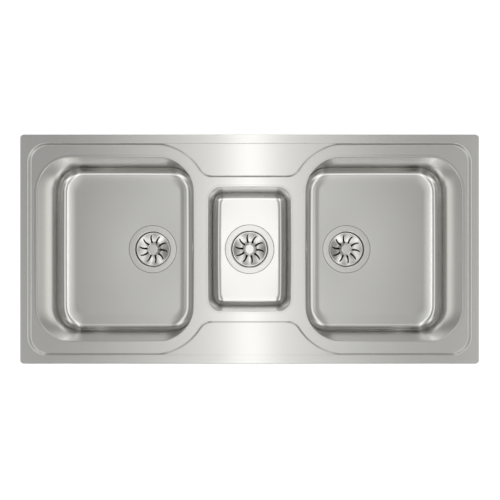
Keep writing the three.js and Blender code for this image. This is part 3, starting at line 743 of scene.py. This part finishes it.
def basket_section():
    """Radius, upper height and lower height along the basket's dish."""
    bottom = -BASKET_BOTTOM + BASKET_GAUGE
    dish_end = BASKET_R - BASKET_RIM
    ends = np.array([0, 0.15, 0.5, 1.0, 1.5, 2.2])
    radii = np.concatenate([
        [BASKET_STEM_R, DISH_FLAT_R, dish_end + 0.3, BASKET_R], SLOT_INNER + ends, SLOT_OUTER - ends,
        np.linspace(SLOT_INNER, SLOT_OUTER, 16), np.linspace(SLOT_OUTER, dish_end, 6),
    ])
    radii = np.unique(np.round(radii, 3))
    part = np.clip((radii - DISH_FLAT_R) / (dish_end - DISH_FLAT_R), 0, 1)
    heights = bottom + (-BASKET_TOP - bottom) * part ** DISH_CURVE
    slope = np.gradient(heights, radii)
    length = np.hypot(slope, 1)
    lower_r = radii + BASKET_GAUGE * slope / length
    lower_z = heights - BASKET_GAUGE / length
    return radii, heights, lower_r, lower_z


def build_basket(side):
    """Dished basket with curved slots, as an upper and a lower skin around each slot."""
    radii, heights, lower_r, lower_z = basket_section()
    place = np.array(drain_place(side))
    between = 8
    sector = 2 * math.pi / SLOTS
    shape = Shape()
    rows = []
    for r, z, r_low, z_low in zip(radii, heights, lower_r, lower_z):
        half = slot_half_angle(r)
        turns = np.concatenate([
            k * sector + slot_turn(r) + np.linspace(half, sector - half, between + 1)
            for k in range(SLOTS)
        ])
        for radius, height in ((r, z), (r_low, z_low)):
            rows.append(place + np.column_stack([
                radius * np.cos(turns), radius * np.sin(turns), np.full(len(turns), height),
            ]))
    count = len(rows[0])
    verts = np.vstack(rows)
    faces = []
    for k in range(len(radii) - 1):
        up, low, next_up, next_low = [(2 * k + step) * count for step in range(4)]
        open_here = SLOT_INNER - 1e-6 <= radii[k] and radii[k + 1] <= SLOT_OUTER + 1e-6
        for i in range(count):
            j = (i + 1) % count
            if i % (between + 1) != between:
                faces.append((up + i, up + j, next_up + j, next_up + i))
                faces.append((low + i, next_low + i, next_low + j, low + j))
            elif open_here:
                faces.append((up + i, next_up + i, next_low + i, low + i))
                faces.append((up + j, low + j, next_low + j, next_up + j))
            else:
                faces.append((up + i, up + j, next_up + j, next_up + i))
                faces.append((low + i, next_low + i, next_low + j, low + j))
    last = 2 * (len(radii) - 1) * count
    for start in (0, last):
        for i in range(count):
            j = (i + 1) % count
            faces.append((start + i, start + j, start + count + j, start + count + i))
    shape.add(verts, faces)
    return shape.piece(f"{side}_basket_dish", sharp=50)


def build_knob(side):
    """Knob with soft corners on a round neck, and the stem that holds the stopper."""
    place = np.array(drain_place(side))
    half, top = KNOB_ACROSS / 2, -KNOB_TOP
    neck_top = top - KNOB_THICK
    profile = rounded([
        (0, top, 0), (half - 3, top, 0), (half - 0.2, top, 1.2), (half, top - 5, 1.5),
        (half - 4.5, top - 8.5, 1.0), (KNOB_NECK_R, neck_top, 1.5),
    ], steps=4)
    steps = KNOB_FACETS * 8
    facet = 2 * np.pi / KNOB_FACETS
    turns = np.arange(steps) * 2 * np.pi / steps
    into_facet = (turns + facet / 2) % facet - facet / 2
    flat = 1 / np.cos(into_facet)
    soften = 1 - KNOB_CORNER_ROUND * (flat - 1)
    rings = []
    for r, z in profile:
        across = r * flat * soften
        rings.append(place + np.column_stack([
            across * np.cos(turns), across * np.sin(turns), np.full(len(turns), z),
        ]))
    foot = -BASKET_BOTTOM + BASKET_GAUGE + GAP
    tip = -CUP_DEPTH + STEM_CLEAR
    neck = rounded([
        (KNOB_NECK_R, neck_top, 0), (KNOB_NECK_R + 0.2, foot + 3, 3), (KNOB_FOOT_R, foot, 0.4),
        (STEM_R, foot, 0), (STEM_R, tip, 0.5), (0, tip, 0),
    ], steps=4)
    for r, z in neck:
        rings.append(place + np.column_stack([
            r * np.cos(turns), r * np.sin(turns), np.full(len(turns), z),
        ]))
    return Shape().loft(rings).piece(f"{side}_knob", sharp=30)


# ------------------------------------------------------------------ assembly


def drilled(obj, holes):
    """Cuts round holes in a piece. A hole is its centre, radius, half length and axis."""
    cutter = Shape()
    for centre, radius, reach, axis in holes:
        rod = Shape().lathe(
            [(0, -reach), (radius, -reach), (radius, reach), (0, reach)], 48, closed=False,
        )
        turned = np.roll(np.array(rod.verts), axis - 2, axis=1)
        cutter.add(turned + np.array(centre), rod.faces)
    tool = cutter.piece("cutter")
    cut = obj.modifiers.new("holes", "BOOLEAN")
    cut.operation = "DIFFERENCE"
    cut.solver = "EXACT"
    cut.object = tool
    seen = obj.evaluated_get(bpy.context.evaluated_depsgraph_get())
    old = obj.data
    obj.data = bpy.data.meshes.new_from_object(seen)
    obj.data.name = obj.name
    obj.modifiers.remove(cut)
    bpy.data.objects.remove(tool)
    bpy.data.meshes.remove(old)
    return obj


def faces_out(face, middle):
    """Whether a face of a hollow piece is on its outside. middle is its centre along X."""
    across, along, up = face.normal
    if abs(up) > 0.5:
        return up < 0
    return across * (face.center.x - middle * MM) + along * face.center.y > 0


def finish_faces(obj, middle, outside, painted_shade=None):
    """Gives a sheet's outside faces a finish of their own, and paints shade on some of the others in
    near-black steel.
    """
    obj.data.materials.append(outside)
    obj.data.materials.append(MATERIALS["painted_shade"])
    for face in obj.data.polygons:
        # Faces that the mask picks get the near-black painted shade.
        if painted_shade is not None and painted_shade(*(face.center / MM)):
            face.material_index = 2
        elif faces_out(face, middle):
            face.material_index = 1


def cup_holes(side):
    """Round holes in a strainer cup's floor, through to the waste body."""
    bottom = np.array(drain_place(side)) - (0, 0, CUP_DEPTH)
    holes = []
    for turn in np.arange(CUP_HOLES) * 2 * np.pi / CUP_HOLES:
        out = CUP_HOLE_RING * np.array([math.cos(turn), math.sin(turn), 0])
        holes.append((bottom + out, CUP_HOLE_R, CUP_HOLE_REACH, 2))
    return holes


def overflow_hole(side):
    """Hole behind a main bowl's overflow plate."""
    low, high = node_box(f"{side}_overflow_plate")
    return [((low + high) / 2, OVERFLOW_HOLE_R, OVERFLOW_HOLE_REACH, 0)]


deck = stands_for(build_deck(), "deck", MATERIALS["deck"])
for face in deck.data.polygons:
    face.material_index = int(face.normal.z < -0.01)
deck.data.materials.append(MATERIALS["mill"])
for side, (sizes, mirror) in BOWLS.items():
    drain_x, _, floor_z = drain_place(side)
    middle = mirror * (sizes["open"][0] + sizes["open"][1]) / 2
    bowl_steel = MATERIALS["half" if side == "centre" else "bowl"]

    # Painted shade: faces down in the seat groove round a strainer's flange, and faces in a cup
    # below its basket, are given near-black steel.
    def in_shaded_seat(x, y, z, drain_x=drain_x, low=floor_z - SHADE_BELOW_FLOOR):
        return z < low and math.hypot(x - drain_x, y) < SEAT_R + 0.1

    def in_shaded_sump(_x, _y, z, low=floor_z - BASKET_TOP - SHADE_BELOW_BASKET):
        return z < low

    sheet = build_bowl(side)
    if side != "centre":
        drilled(sheet, overflow_hole(side))
    stands_for(sheet, f"{side}_bowl", bowl_steel)
    finish_faces(sheet, middle, MATERIALS["mill"], in_shaded_seat)
    cup = drilled(build_cup(side), cup_holes(side))
    stands_for(cup, f"{side}_strainer_cup", MATERIALS["satin"])
    finish_faces(cup, drain_x, MATERIALS["satin"], in_shaded_sump)
    stands_for(build_basket(side), f"{side}_basket", MATERIALS["satin"])
    stands_for(build_knob(side), f"{side}_basket_knob", MATERIALS["polished"])

BY_SLOT = {
    "brushed_sheet": "deck",
    "polished_steel": "polished",
    "zinc_steel": "zinc",
    "rubber": "rubber",
    "foam_seal": "foam",
    "sound_pad": "pad",
    "white_plastic": "plastic",
}
METAL_EDGE_BREAK = 0.25
EDGE_BREAK = {"rubber": 0.5, "foam": 0.8, "pad": 0.6, "plastic": 0.6}
for node, obj in frame["nodes"].items():
    finish = BY_SLOT[SLOT_OF[node]]
    obj.data.materials.clear()
    obj.data.materials.append(MATERIALS[finish])
    obj.modifiers.new("joined", "WELD").merge_threshold = 0.01 * MM
    edges = obj.modifiers.new("broken_edges", "BEVEL")
    edges.width = EDGE_BREAK.get(finish, METAL_EDGE_BREAK) * MM
    edges.segments = 2
    edges.angle_limit = math.radians(35)
    obj.modifiers.new("even_normals", "WEIGHTED_NORMAL").keep_sharp = True


# ------------------------------------------------------------------ stage, lights, camera

CAMERA_HEIGHT = 1613.6
CAMERA_OFFSET = (0.9, -1.9)
LENS = 53.3


def build_stage():
    """Pale floor that the sink is shown on, just under its wastes."""
    material, _, shader = nodes_of("white_stage")
    shader.inputs["Base Color"].default_value = (0.9, 0.9, 0.9, 1)
    shader.inputs["Roughness"].default_value = 0.9
    shader.inputs["Emission Color"].default_value = (1, 1, 1, 1)
    shader.inputs["Emission Strength"].default_value = 0.75
    size = 40000.0
    z = cad_low.z / MM - 1
    floor = piece("stage_floor", [
        (-size, -size, z), (size, -size, z), (size, size, z), (-size, size, z),
    ], [(0, 1, 2, 3)])
    floor.data.materials.append(material)


# Studio light from above, as bands: the part of the light's direction along X or Y that
# the band keeps to, the band's width and its strength over the base light. The bands
# across X fade towards the front and the rear, and tilt a little to the rear.
BASE_LIGHT = 0.13
FLOOR_LIGHT = 0.9
BANDS_ACROSS_X = (
    (0.0, 0.015, 1.5),
    (0.0, 0.2, 0.68),
    (-0.5, 0.14, 0.88),
    (0.47, 0.14, 0.96),
    (-0.9, 0.15, 0.25),
    (0.9, 0.15, 0.25),
)
BANDS_ACROSS_Y = (
    (-0.17, 0.05, 0.3),
    (-0.55, 0.13, 0.85),
    (0.62, 0.07, 0.35),
)
BAND_FADE = 0.7
BAND_TILT = 0.3
BACKDROP = 0.93


def calculated(tree, operation, *values):
    """The output of a math node whose inputs are numbers or other outputs."""
    node = add_node(tree, "ShaderNodeMath", operation=operation)
    for socket, value in zip(node.inputs, values):
        if isinstance(value, (int, float)):
            socket.default_value = value
        else:
            tree.links.new(value, socket)
    return node.outputs["Value"]


def banded(tree, component, bands):
    """The light of some bands across one component of its direction."""
    light = 0.0
    for centre, width, strength in bands:
        off = calculated(tree, "MULTIPLY_ADD", component, 1 / width, -centre / width)
        fall = calculated(tree, "POWER", math.exp(-1), calculated(tree, "MULTIPLY", off, off))
        light = calculated(tree, "MULTIPLY_ADD", fall, strength, light)
    return light


def build_world():
    """Soft studio surroundings: pale below, and bands of light over a base tone above."""
    world = bpy.data.worlds.new("studio")
    bpy.context.scene.world = world
    world.use_nodes = True
    tree = world.node_tree
    place = add_node(tree, "ShaderNodeTexCoord")
    along = add_node(tree, "ShaderNodeSeparateXYZ")
    tree.links.new(place.outputs["Generated"], along.inputs["Vector"])
    across_x = banded(tree, along.outputs["X"], BANDS_ACROSS_X)
    across_y = banded(tree, along.outputs["Y"], BANDS_ACROSS_Y)
    slope = calculated(tree, "MULTIPLY_ADD", along.outputs["Y"], -BAND_FADE, BAND_TILT)
    fade = calculated(tree, "MULTIPLY_ADD", along.outputs["Y"], slope, 1.0)
    bands = calculated(tree, "MULTIPLY_ADD", across_x, fade, across_y)
    above = calculated(tree, "GREATER_THAN", along.outputs["Z"], 0.0)
    light = calculated(tree, "ADD", bands, BASE_LIGHT - FLOOR_LIGHT)
    total = calculated(tree, "MULTIPLY_ADD", light, above, FLOOR_LIGHT)
    seen = add_node(tree, "ShaderNodeLightPath").outputs["Is Camera Ray"]
    backdrop = calculated(tree, "MULTIPLY", seen, BACKDROP)
    unseen = calculated(tree, "SUBTRACT", 1.0, seen)
    strength = calculated(tree, "MULTIPLY_ADD", total, unseen, backdrop)
    background = tree.nodes["Background"]
    background.inputs["Color"].default_value = (1.0, 1.0, 0.99, 1)
    tree.links.new(strength, background.inputs["Strength"])


def build_camera():
    """Camera straight above the sink."""
    data = bpy.data.cameras.new("camera")
    data.lens = LENS
    data.sensor_width = 36.0
    camera = bpy.data.objects.new("camera", data)
    camera.location = (CAMERA_OFFSET[0] * MM, CAMERA_OFFSET[1] * MM, CAMERA_HEIGHT * MM)
    bpy.context.scene.collection.objects.link(camera)
    bpy.context.scene.camera = camera


build_stage()
build_world()
build_camera()
bpy.context.scene.view_settings.view_transform = "Standard"
